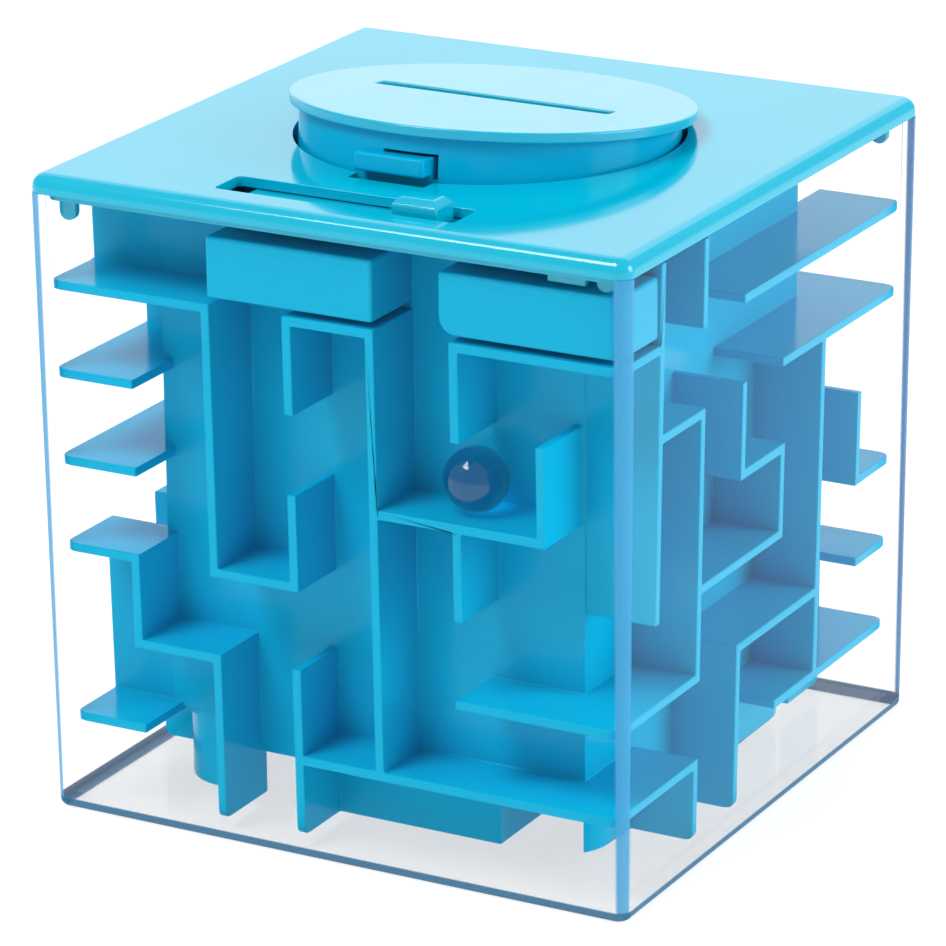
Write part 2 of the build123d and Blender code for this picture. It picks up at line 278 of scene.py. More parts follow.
@dataclass(frozen=True)
class ClearPane:
    """Clear polystyrene panes: open to light, mirror-like at a glance, with painted blue light on the
    corners and the foot of the box, standing in for the light that the clear edges pipe from the blue core."""

    name: str
    half_mm: float
    # painted piped light: the colours, band widths and strength of the blue that is painted on the corners
    # and the foot
    painted_corner_light: Colour = (0.06, 0.36, 0.66)
    painted_foot_light: Colour = (0.002, 0.13, 0.26)
    painted_corner_band_mm: float = 2.2
    painted_foot_band_mm: float = 1.7
    painted_light_strength: float = 0.92
    head_on: float = 0.002
    at_a_glance: float = 0.30
    glance_power: float = 5.0

    def near(self, sheet: NodeSheet, value: Wire, start_mm: float, full_mm: float) -> Wire:
        """Ramp from 0 to 1 as a coordinate grows.

        Args:
            sheet: the sheet to add to.
            value: the coordinate, in metres.
            start_mm: where the ramp is 0.
            full_mm: where it is 1.

        Returns:
            The ramp.
        """
        return sheet.add("ShaderNodeMapRange", {"interpolation_type": "SMOOTHSTEP"}, {
            "Value": value, "From Min": start_mm * MM, "From Max": full_mm * MM})

    def build(self) -> bpy.types.Material:
        """Make the material.

        Returns:
            The finished material.
        """
        material = bpy.data.materials.new(self.name)
        material.use_nodes = True
        sheet = NodeSheet(material.node_tree)
        place = sheet.add("ShaderNodeTexCoord", {}, {}, "Object")
        split = sheet.add("ShaderNodeSeparateXYZ", {}, {"Vector": place})
        x, y, z = (Wire(sheet, output) for output in split.socket.node.outputs)
        x, y = x.absolute(), y.absolute()
        # masks of the painted light: bands along the upright corners and along the foot of the box
        start, full = self.half_mm - self.painted_corner_band_mm, self.half_mm - self.painted_corner_band_mm + 0.5
        side_x, side_y = self.near(sheet, x, start, full), self.near(sheet, y, start, full)
        low = self.near(sheet, 0.0 - z, -self.painted_foot_band_mm, -self.painted_foot_band_mm + 0.3)
        edge = (side_x * side_y).greatest(low * side_x.greatest(side_y))
        clear = sheet.add("ShaderNodeBsdfTransparent", {}, {"Color": (1.0, 1.0, 1.0, 1.0)})
        gloss = sheet.add("ShaderNodeBsdfGlossy", {}, {"Color": (1.0, 1.0, 1.0, 1.0), "Roughness": 0.02})
        turned = sheet.add("ShaderNodeLayerWeight", {}, {"Blend": 0.5}, "Facing")
        glance = turned ** self.glance_power * self.at_a_glance + self.head_on
        pane = sheet.add("ShaderNodeMixShader", {}, {0: glance, 1: clear, 2: gloss})
        # painted piped light: a flat blue at the upright corners and a darker blue at the foot, painted where
        # the clear edges glow with light from the blue core
        tone = sheet.add("ShaderNodeMix", {"data_type": "RGBA"}, {
            "Factor": low, 6: (*self.painted_corner_light, 1.0), 7: (*self.painted_foot_light, 1.0)}, 2)
        painted_piped_light = sheet.add("ShaderNodeBsdfPrincipled", {}, {
            "Base Color": tone, "Roughness": 0.08, "IOR": 1.49, "Specular IOR Level": 0.2})
        sheet.output(sheet.add("ShaderNodeMixShader", {}, {
            0: edge * self.painted_light_strength, 1: pane, 2: painted_piped_light}))
        return material


@dataclass(frozen=True)
class TintedGlass:
    """Tinted glass that bends light and lets lamps through."""

    name: str
    tint: Colour
    ior: float = 1.5
    roughness: float = 0.02

    def build(self) -> bpy.types.Material:
        """Make the material.

        Returns:
            The finished material.
        """
        material = bpy.data.materials.new(self.name)
        material.use_nodes = True
        sheet = NodeSheet(material.node_tree)
        swirl = sheet.object_noise(0.35, 2.0)
        dark = tuple(channel * 0.8 for channel in self.tint)
        tone = sheet.add("ShaderNodeMix", {"data_type": "RGBA"},
                         {"Factor": swirl, 6: (*dark, 1.0), 7: (*self.tint, 1.0)}, 2)
        body = sheet.add("ShaderNodeBsdfPrincipled", {}, {
            "Base Color": tone, "Roughness": self.roughness, "IOR": self.ior,
            "Transmission Weight": 1.0})
        open_way = sheet.add("ShaderNodeBsdfTransparent", {}, {"Color": (*self.tint, 1.0)})
        lamp_ray = sheet.add("ShaderNodeLightPath", {}, {}, "Is Shadow Ray")
        sheet.output(sheet.add("ShaderNodeMixShader", {}, {0: lamp_ray, 1: body, 2: open_way}))
        return material


@dataclass(frozen=True)
class TurnedSteel:
    """Bright steel with fine turning marks round the X axis."""

    name: str
    colour: Colour = (0.62, 0.62, 0.64)

    def build(self) -> bpy.types.Material:
        """Make the material.

        Returns:
            The finished material.
        """
        material = bpy.data.materials.new(self.name)
        material.use_nodes = True
        sheet = NodeSheet(material.node_tree)
        place = sheet.add("ShaderNodeTexCoord", {}, {}, "Object")
        marks = sheet.add("ShaderNodeTexWave", {"bands_direction": "X"},
                          {"Vector": place, "Scale": 1600.0, "Distortion": 1.5})
        shader = sheet.add("ShaderNodeBsdfPrincipled", {}, {
            "Base Color": (*self.colour, 1.0), "Metallic": 1.0, "Roughness": marks * 0.12 + 0.24,
            "Normal": sheet.bump(marks, 0.4, 0.004)})
        sheet.output(shader)
        return material


@dataclass(frozen=True)
class MattFloor:
    """A pale light-table floor."""

    name: str = "studio_floor"
    colour: Colour = (0.30, 0.30, 0.30)
    glow: float = 0.82

    def build(self) -> bpy.types.Material:
        """Make the material.

        Returns:
            The finished material.
        """
        material = bpy.data.materials.new(self.name)
        material.use_nodes = True
        sheet = NodeSheet(material.node_tree)
        shader = sheet.add("ShaderNodeBsdfPrincipled", {}, {
            "Base Color": (*self.colour, 1.0), "Roughness": 0.9, "Specular IOR Level": 0.1,
            "Emission Color": (1.0, 1.0, 1.0, 1.0), "Emission Strength": self.glow})
        sheet.output(shader)
        return material


class Shape:
    """A mesh under construction, in millimetres."""

    WELD = 0.02

    def __init__(self) -> None:
        """Start empty."""
        self.bm = bmesh.new()

    def block(self, x: Span, y: Span, z: Span) -> list[bmesh.types.BMVert]:
        """Add a box between limits.

        Args:
            x: the limits along X, in either order.
            y: the limits along Y.
            z: the limits along Z.

        Returns:
            The box's corners.
        """
        spans = [sorted(span) for span in (x, y, z)]
        centre = Vector([(low + high) / 2 for low, high in spans])
        size = [high - low for low, high in spans]
        matrix = Matrix.Translation(centre) @ Matrix.Diagonal((*size, 1.0))
        return bmesh.ops.create_cube(self.bm, size=1.0, matrix=matrix)["verts"]

    def drum(self, radius: float, bottom: float, top: float, y: float = 0.0, segments: int = 128,
             axis: str = "Z") -> list[bmesh.types.BMVert]:
        """Add a closed cylinder.

        Args:
            radius: its radius.
            bottom: its low end along its axis.
            top: its high end along its axis.
            y: its centre along Y.
            segments: sides.
            axis: Z for upright, X for lying.

        Returns:
            Its vertices.
        """
        matrix = Matrix.Translation((0, y, (bottom + top) / 2))
        if axis == "X":
            matrix = Matrix.Translation(((bottom + top) / 2, y, 0)) @ Matrix.Rotation(math.pi / 2, 4, "Y")
        made = bmesh.ops.create_cone(self.bm, cap_ends=True, segments=segments, radius1=radius,
                                     radius2=radius, depth=top - bottom, matrix=matrix)
        return made["verts"]

    def edges_of(self, verts: Iterable[bmesh.types.BMVert],
                 wanted: Callable[[Vector, Vector], bool]) -> list[bmesh.types.BMEdge]:
        """Pick edges among some vertices.

        Args:
            verts: the vertices whose edges are looked at.
            wanted: takes an edge's middle and its direction, and says whether to keep it.

        Returns:
            The edges, each once.
        """
        known = set(verts)
        near = dict.fromkeys(edge for vert in verts for edge in vert.link_edges)
        return [edge for edge in near if known.issuperset(edge.verts) and
                wanted((edge.verts[0].co + edge.verts[1].co) / 2,
                       (edge.verts[1].co - edge.verts[0].co).normalized())]

    def round_edges(self, edges: Sequence[bmesh.types.BMEdge], radius: float, segments: int) -> None:
        """Round some edges.

        Args:
            edges: the edges to round.
            radius: the rounding's size.
            segments: steps across it.
        """
        if edges:
            bmesh.ops.bevel(self.bm, geom=list(edges), offset=radius, offset_type="OFFSET", affect="EDGES",
                            segments=segments, profile=0.5, material=-1, clamp_overlap=True)

    def move(self, matrix: Matrix) -> "Shape":
        """Move the whole shape.

        Args:
            matrix: the move.

        Returns:
            The shape itself.
        """
        bmesh.ops.transform(self.bm, matrix=matrix, verts=self.bm.verts)
        return self

    def tidy(self, flat_deg: float = 0.4) -> "Shape":
        """Merge doubles and dissolve edges inside flat faces.

        Args:
            flat_deg: the most that two faces of one plane may differ.

        Returns:
            The shape itself.
        """
        bmesh.ops.remove_doubles(self.bm, verts=self.bm.verts, dist=self.WELD)
        bmesh.ops.dissolve_degenerate(self.bm, edges=self.bm.edges, dist=self.WELD)
        bmesh.ops.dissolve_limit(self.bm, angle_limit=math.radians(flat_deg), verts=self.bm.verts,
                                 edges=self.bm.edges)
        bmesh.ops.recalc_face_normals(self.bm, faces=self.bm.faces)
        return self

    def mesh(self, name: str, scale: float = 1.0) -> bpy.types.Mesh:
        """Write the shape out.

        Args:
            name: the mesh's name.
            scale: the size of a millimetre in it.

        Returns:
            The new mesh.
        """
        copy = self.bm.copy()
        bmesh.ops.transform(copy, matrix=Matrix.Scale(scale, 4), verts=copy.verts)
        mesh = bpy.data.meshes.new(name)
        copy.to_mesh(mesh)
        copy.free()
        return mesh

    def combine(self, other: "Shape", how: Mix) -> "Shape":
        """Join another shape on, or cut it away.

        Args:
            other: the second shape.
            how: union or difference.

        Returns:
            The result, as a new shape.
        """
        objects = []
        for name, shape in (("base", self), ("tool", other)):
            thing = bpy.data.objects.new(name, shape.mesh(name))
            bpy.context.scene.collection.objects.link(thing)
            objects.append(thing)
        base, tool = objects
        modifier = base.modifiers.new("combine", "BOOLEAN")
        modifier.operation = how.value
        modifier.solver = "EXACT"
        modifier.use_self = True
        modifier.object = tool
        bpy.context.view_layer.update()
        made = bpy.data.meshes.new_from_object(base.evaluated_get(bpy.context.evaluated_depsgraph_get()))
        result = Shape()
        result.bm.from_mesh(made)
        for thing in objects:
            mesh = thing.data
            bpy.data.objects.remove(thing)
            bpy.data.meshes.remove(mesh)
        bpy.data.meshes.remove(made)
        return result.tidy()


@dataclass(frozen=True)
class Edging:
    """The small rounding along a piece's edges."""

    radius: float = 0.2
    segments: int = 2
    angle_deg: float = 32.0
    clamped: bool = True


def place_piece(name: str, shape: Shape, material: bpy.types.Material, body: Body,
                nodes: Sequence[str], edging: Edging | None = Edging()) -> bpy.types.Object:
    """Write a shape as a finished piece that rides on a body.

    Args:
        name: the piece's name.
        shape: its shape, in millimetres.
        material: its finish.
        body: the body that it moves with.
        nodes: the frame's nodes that it stands for.
        edging: the rounding of its edges, or None.

    Returns:
        The piece.
    """
    mesh = shape.mesh(name, MM)
    mesh.materials.append(material)
    mesh.polygons.foreach_set("use_smooth", [True] * len(mesh.polygons))
    piece = bpy.data.objects.new(name, mesh)
    bpy.context.scene.collection.objects.link(piece)
    if edging is not None:
        bevel = piece.modifiers.new("edging", "BEVEL")
        bevel.width = edging.radius * MM
        bevel.segments = edging.segments
        bevel.limit_method = "ANGLE"
        bevel.angle_limit = math.radians(edging.angle_deg)
        bevel.miter_outer = "MITER_ARC"
        bevel.use_clamp_overlap = edging.clamped
    even = piece.modifiers.new("flat_faces", "WEIGHTED_NORMAL")
    even.keep_sharp = True
    even.weight = 100
    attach(piece, body.value)
    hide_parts(*nodes)
    LOG.info("%s: %d faces", name, len(mesh.polygons))
    return piece


def limits(node: str) -> tuple[Span, Span, Span]:
    """A node's limits on each axis, in millimetres."""
    low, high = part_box(node)
    return tuple((low[i] / MM, high[i] / MM) for i in range(3))


@dataclass
class Finishes:
    """Every finish that the object has."""

    blue: bpy.types.Material
    lid: bpy.types.Material
    cap: bpy.types.Material
    clear: bpy.types.Material
    marble: bpy.types.Material
    steel: bpy.types.Material

    @classmethod
    def mix(cls) -> "Finishes":
        """Make them all.

        Returns:
            The set of finishes.
        """
        return cls(
            blue=MouldedPlastic("blue_moulding", (0.0, 0.42, 0.68), specular=0.1).build(),
            lid=MouldedPlastic("lid_moulding", (0.0, 0.45, 0.645), roughness=0.09, haze=0.05).build(),
            cap=MouldedPlastic("cap_moulding", (0.0, 0.44, 0.64), roughness=0.20).build(),
            clear=ClearPane("clear_box_plastic", limits("clear_box")[0][1]).build(),
            marble=TintedGlass("teal_marble_glass", (0.02, 0.55, 0.70)).build(),
            steel=TurnedSteel("pin_steel").build(),
        )


@dataclass
class ClearBox:
    """The clear outer box: a drafted shell, open at the top."""

    finishes: Finishes
    wall: float = 1.55
    floor: float = 1.8
    draft: float = 0.58
    corner: float = 2.0
    foot: float = 1.1

    def shell(self, half: float, base: float, top: float, corner: float, foot: float) -> Shape:
        """One drafted, rounded block.

        Args:
            half: half its width at the box's rim.
            base: its lowest point.
            top: its highest point.
            corner: the radius of its upright edges.
            foot: the radius of its bottom edges.

        Returns:
            The block.
        """
        shape = Shape()
        verts = shape.block((-half, half), (-half, half), (base, top))
        low = [vert for vert in verts if vert.co.z < (base + top) / 2]
        inset = (half - self.draft) / half
        bmesh.ops.scale(shape.bm, vec=(inset, inset, 1.0), verts=low)
        upright = shape.edges_of(verts, lambda middle, way: abs(way.z) > 0.9)
        shape.round_edges(upright, corner, 8)
        bottom = [edge for edge in shape.bm.edges if all(v.co.z < base + 1e-3 for v in edge.verts)]
        shape.round_edges(bottom, foot, 5)
        return shape

    def build(self) -> None:
        """Make the box as one closed shell."""
        x, _, z = limits("clear_box")
        outer = self.shell(x[1], z[0], z[1], self.corner, self.foot)
        inner = self.shell(x[1] - self.wall, z[0] + self.floor, z[1] + 5.0, self.corner - 1.2, 0.6)
        box = outer.combine(inner, Mix.DIFFERENCE)
        place_piece("clear_box_shell", box, self.finishes.clear, Body.CASE, ["clear_box"],
                    Edging(0.12, 2, 50.0))


@dataclass
class Lid:
    """The lid and everything moulded or fixed under it."""

    finishes: Finishes
    corner: float = 2.2
    edge: float = 1.95
    hole_radius: float = 27.0
    hole_y: float = 2.0
    bay_half: float = 14.2
    bay_arc: float = 44.0
    bay_back: float = 32.3
    slot_x: Span = (-19.0, 17.0)
    slot_y: Span = (-39.5, -33.0)
    pocket_gap: float = 0.15
    bar_pocket: tuple[Span, Span] = ((-42.1, 26.8), (-41.5, -30.0))
    tongue_pocket: tuple[Span, Span] = ((-20.0, 26.8), (-30.5, -18.0))
    side_gap: float = 0.4

    def plate(self) -> Shape:
        """The rounded plate before it is cut.

        Returns:
            The plate.
        """
        x, y, z = limits("lid_plate")
        shape = Shape()
        verts = shape.block(x, y, z)
        shape.round_edges(shape.edges_of(verts, lambda middle, way: abs(way.z) > 0.9), self.corner, 10)
        top = [edge for edge in shape.bm.edges if all(v.co.z > z[1] - 1e-3 for v in edge.verts)]
        shape.round_edges(top, self.edge, 8)
        return shape

    def cutters(self) -> Shape:
        """Everything that is cut through the plate: the hatch hole, the hinge bay, the lug's notch, the
        latch slot and the pocket for the latch bar.

        Returns:
            The cutters, as one shape.
        """
        _, _, z = limits("lid_plate")
        through = (z[0] - 3.0, z[1] + 3.0)
        lug_x, lug_y, _ = limits("hatch_latch_lug")
        bar_z = limits("latch_bar")[2]
        hole = Shape()
        hole.drum(self.hole_radius, *through, y=self.hole_y)
        hole.block((lug_x[0] - self.side_gap, lug_x[1] + self.side_gap),
                   (lug_y[0] - self.side_gap, self.hole_y), through)
        bay = Shape()
        bay.block((-self.bay_half, self.bay_half), (self.hole_y + 15, self.hole_y + 40), through)
        arc = Shape()
        arc.drum(self.bay_arc, *(z[0] - 4.0, z[1] + 4.0), y=self.bay_back - self.bay_arc, segments=192)
        outside = Shape()
        outside.block((-60, 60), (0, 60), (z[0] - 3.5, z[1] + 3.5))
        behind = outside.combine(arc, Mix.DIFFERENCE)
        bay = bay.combine(behind, Mix.DIFFERENCE)
        slot = Shape()
        verts = slot.block(self.slot_x, self.slot_y, through)
        slot.round_edges(slot.edges_of(verts, lambda middle, way: abs(way.z) > 0.9), 0.8, 5)
        pocket = Shape()
        ceiling = bar_z[1] + self.pocket_gap
        for across, along in (self.bar_pocket, self.tongue_pocket):
            pocket.block(across, along, (z[0] - 2.0, ceiling))
        whole = hole.combine(bay, Mix.UNION)
        return whole.combine(slot, Mix.UNION).combine(pocket, Mix.UNION)

    def legs(self) -> Shape:
        """The four legs that reach down inside the box's corners, with round ends.

        Returns:
            The legs.
        """
        x, y, z = limits("lid_corner_legs")
        width, thickness, short = 2.6, 1.2, 1.2
        shape = Shape()
        for side_x in (-1, 1):
            for side_y in (-1, 1):
                foot = z[0] + short if (side_x, side_y) == (1, -1) else z[0]
                verts = shape.block((side_x * (x[1] - width), side_x * x[1]),
                                    (side_y * (y[1] - thickness), side_y * y[1]), (foot, z[1] + 0.2))
                low = shape.edges_of(verts, lambda m, way: abs(way.y) > 0.9 and m.z < z[0] + 1.5)
                shape.round_edges(low, 1.25, 5)
        return shape

    def rim(self) -> Shape:
        """The low rim that centres the lid in the box.

        Returns:
            The rim.
        """
        x, _, z = limits("lid_locating_rim")
        outer, inner = Shape(), Shape()
        for shape, half, corner, low, high in ((outer, x[1], 1.4, z[0], z[1] + 0.2),
                                               (inner, x[1] - 1.0, 0.6, z[0] - 1, z[1] + 1)):
            verts = shape.block((-half, half), (-half, half), (low, high))
            upright = shape.edges_of(verts, lambda middle, way: abs(way.z) > 0.9)
            shape.round_edges(upright, corner, 5)
        return outer.combine(inner, Mix.DIFFERENCE)

    def build(self) -> None:
        """Make the plate, its rim, legs and rib, the keeper strip and the hinge's stub pins."""
        case, lid = Body.CASE, self.finishes.lid
        plate = self.plate().combine(self.cutters(), Mix.DIFFERENCE)
        place_piece("lid_top", plate, lid, case, ["lid_plate"],
                    Edging(0.12, 2, 40.0, clamped=False))
        place_piece("lid_rim", self.rim(), lid, case, ["lid_locating_rim"])
        place_piece("lid_legs", self.legs(), lid, case, ["lid_corner_legs"])
        for name, node, slot in (("lid_rib", "lid_front_rib", Slot.LID),
                                 ("latch_keeper_strip", "latch_keeper", Slot.BLUE)):
            shape = Shape()
            shape.block(*limits(node))
            place_piece(name, shape, lid, case, [node], Edging(0.25, 3))
        pins = Shape()
        x, y, z = limits("hinge_pins")
        radius = (z[1] - z[0]) / 2
        for side in (-1, 1):
            ends = sorted((side * 8.4, side * x[1]))
            verts = pins.drum(radius, ends[0], ends[1], segments=32, axis="X")
            bmesh.ops.translate(pins.bm, verts=verts, vec=(0, (y[0] + y[1]) / 2, (z[0] + z[1]) / 2))
        place_piece("hinge_stub_pins", pins, self.finishes.steel, case, ["hinge_pins"],
                    Edging(0.12, 3, 50.0))


@dataclass
class Hatch:
    """The round cap: drawn shut, then turned about its hinge to where it rests."""

    finishes: Finishes
    joint: dict
    disc_radius: float = 27.9
    disc_y: float = 2.64
    disc_bottom: float = 91.26
    disc_thickness: float = 1.5
    coin_slot: tuple[float, float] = (36.0, 2.6)
    skirt_radius: float = 26.2
    skirt_wall: float = 1.4
    skirt_depth: float = 8.0
    skirt_y: float = 2.0
    lug_x: Span = (-5.4, 5.2)
    lug_z: Span = (86.0, 88.6)
    lug_front: float = -26.4
    gap_start: float = 3.4
    gap_height: float = 0.4
    gap_width: float = 0.7
    ear_x: Span = (8.7, 11.5)
    ear_radius: float = 1.25
    bore_radius: float = 0.75

    def rest_turn(self) -> Matrix:
        """The turn from shut to the resting angle.

        Returns:
            The turn about the hinge.
        """
        pivot = Vector(self.joint["pos_m"]) / MM
        shut = math.radians(self.joint["range_deg"][0])
        turn = Matrix.Rotation(-shut, 4, Vector(self.joint["axis"]))
        return Matrix.Translation(pivot) @ turn @ Matrix.Translation(-pivot)

    def disc(self) -> Shape:
        """The round plate with its coin slot.

        Returns:
            The plate.
        """
        top = self.disc_bottom + self.disc_thickness
        plate = Shape()
        plate.drum(self.disc_radius, self.disc_bottom, top, y=self.disc_y, segments=192)
        slot = Shape()
        half_long, half_wide = (size / 2 for size in self.coin_slot)
        verts = slot.block((-half_long, half_long), (self.disc_y - half_wide, self.disc_y + half_wide),
                           (self.disc_bottom - 2, top + 2))
        slot.round_edges(slot.edges_of(verts, lambda middle, way: abs(way.z) > 0.9), 0.5, 4)
        return plate.combine(slot, Mix.DIFFERENCE)

    def skirt(self) -> Shape:
        """The ring under the plate, with the gap that frees its spring lug.

        Returns:
            The ring.
        """
        low, high = self.disc_bottom - self.skirt_depth, self.disc_bottom + 0.2
        ring, bore, gap = Shape(), Shape(), Shape()
        ring.drum(self.skirt_radius, low, high, y=self.skirt_y, segments=192)
        bore.drum(self.skirt_radius - self.skirt_wall, low - 1, high + 1, y=self.skirt_y, segments=192)
        depth = (self.skirt_y - self.skirt_radius - 2, self.skirt_y - self.skirt_radius + 6)
        above = (self.lug_z[1], self.lug_z[1] + self.gap_height)
        beside = (self.lug_x[1], self.lug_x[1] + self.gap_width)
        gap.block((self.lug_x[0] + self.gap_start, beside[1]), depth, above)
        side = Shape()
        side.block(beside, depth, (self.lug_z[0] - 0.4, above[1]))
        return ring.combine(bore, Mix.DIFFERENCE).combine(gap.combine(side, Mix.UNION), Mix.DIFFERENCE)

    def ears(self) -> Shape:
        """The two bored hinge ears.

        Returns:
            The ears.
        """
        pivot = Vector(self.joint["pos_m"]) / MM
        made, bore = Shape(), Shape()
        for side in (-1, 1):
            ends = sorted((side * self.ear_x[0], side * self.ear_x[1]))
            for shape, radius, spare in ((made, self.ear_radius, 0.0), (bore, self.bore_radius, 1.0)):
                verts = shape.drum(radius, ends[0] - spare, ends[1] + spare, segments=40, axis="X")
                bmesh.ops.translate(shape.bm, verts=verts, vec=(0, pivot.y, pivot.z))
        necks = Shape()
        for side in (-1, 1):
            necks.block((side * self.ear_x[0], side * self.ear_x[1]), (pivot.y - self.ear_radius, pivot.y),
                        (pivot.z, self.disc_bottom + 0.2))
        over = Shape()
        over.block((-30, 30), (0, 50), (self.disc_bottom + 0.1, 100))
        return made.combine(necks, Mix.UNION).combine(bore, Mix.DIFFERENCE).combine(over, Mix.DIFFERENCE)

    def lug(self) -> Shape:
        """The latch lug on the skirt's front.

        Returns:
            The lug.
        """
        shape = Shape()
        shape.block(self.lug_x, (self.lug_front, self.skirt_y - self.skirt_radius + 1.0), self.lug_z)
        return shape

    def build(self) -> None:
        """Make the cap's pieces and turn them to rest."""
        turn = self.rest_turn()
        cap, hatch = self.finishes.cap, Body.HATCH
        place_piece("hatch_cap", self.disc().move(turn), cap, hatch, ["hatch_disc"],
                    Edging(0.3, 4, 50.0))
        for name, shape, node, edging in (
                ("hatch_ring", self.skirt(), "hatch_skirt", Edging(0.15, 2, 50.0)),
                ("hatch_lug", self.lug(), "hatch_latch_lug", Edging(0.5, 4, 50.0)),
                ("hatch_ears", self.ears(), "hatch_hinge_ears", Edging(0.12, 2, 50.0))):
            place_piece(name, shape.move(turn), self.finishes.blue, hatch, [node], edging)


@dataclass
class SlideLatch:
    """The finger knob, the bar in the lid's pocket and the tongue that locks the hatch."""

    finishes: Finishes
    bevel: float = 0.9

    def build(self) -> None:
        """Make the three pieces."""
        finish = self.finishes.lid
        knob = Shape()
        x, y, z = limits("latch_knob")
        verts = knob.block(x, y, z)
        top = knob.edges_of(verts, lambda middle, way: middle.z > z[1] - 0.1)
        knob.round_edges(top, self.bevel, 1)
        place_piece("latch_finger_knob", knob, finish, Body.LATCH, ["latch_knob"],
                    Edging(0.22, 3, 25.0))
        for name, node in (("latch_slide_bar", "latch_bar"), ("latch_lock_tongue", "latch_tongue")):
            shape = Shape()
            x, y, z = limits(node)
            verts = shape.block(x, y, z)
            if node == "latch_tongue":
                tips = shape.edges_of(verts, lambda m, way: abs(way.z) > 0.9 and m.y > y[1] - 0.1)
                shape.round_edges(tips, 1.2, 5)
            place_piece(name, shape, finish, Body.LATCH, [node], Edging(0.12, 2))


@dataclass(frozen=True)
class FaceMaze:
    """One face's shelves, as (level, first line, last line), and posts, as (line, top level, bottom
    level), seen from outside with lines counted from its left. Level 0 is the lid, 7 the box floor."""

    turn_deg: float
    owns_corners: bool
    shelves: tuple[tuple[int, int, int], ...]
    posts: tuple[tuple[int, int, int], ...]


FRONT = FaceMaze(
    0, True,
    ((1, 0, 2), (1, 3, 4), (1, 5, 7), (2, 0, 1), (3, 0, 1), (3, 4, 6), (4, 0, 1), (4, 2, 3), (5, 1, 2),
     (5, 5, 7), (6, 0, 1), (6, 3, 7)),
    ((1, 4, 5), (2, 1, 4), (2, 5, 7), (3, 1, 2), (3, 3, 4), (3, 5, 7), (4, 1, 6), (5, 1, 2), (5, 3, 4),
     (6, 2, 3)))
RIGHT = FaceMaze(
    90, False,
    ((1, 0, 1), (1, 3, 7), (2, 1, 2), (2, 4, 7), (3, 3, 4), (4, 2, 4), (5, 0, 2), (5, 3, 5), (6, 0, 2),
     (6, 4, 7)),
    ((1, 0, 4), (2, 0, 1), (2, 2, 5), (2, 6, 7), (3, 2, 3), (3, 5, 7), (4, 3, 4), (5, 2, 6), (6, 3, 4)))
BACK = FaceMaze(
    180, True,
    ((1, 0, 1), (1, 2, 4), (2, 0, 3), (2, 5, 6), (3, 3, 5), (4, 0, 2), (4, 4, 6), (5, 0, 4), (5, 6, 7),
     (6, 0, 1), (6, 3, 6)),
    ((1, 5, 7), (2, 4, 5), (2, 0, 1), (3, 1, 3), (4, 3, 4), (5, 1, 3), (5, 4, 6), (6, 1, 2), (6, 4, 5)))
LEFT = FaceMaze(
    270, False,
    ((1, 4, 7), (1, 0, 2), (2, 5, 7), (2, 1, 3), (3, 3, 7), (4, 6, 7), (4, 3, 5), (5, 1, 4), (6, 5, 7),
     (6, 0, 3)),
    ((6, 0, 1), (5, 1, 2), (6, 4, 6), (5, 4, 5), (5, 6, 7), (4, 1, 3), (3, 4, 5), (3, 6, 7), (2, 2, 4),
     (1, 3, 5)))


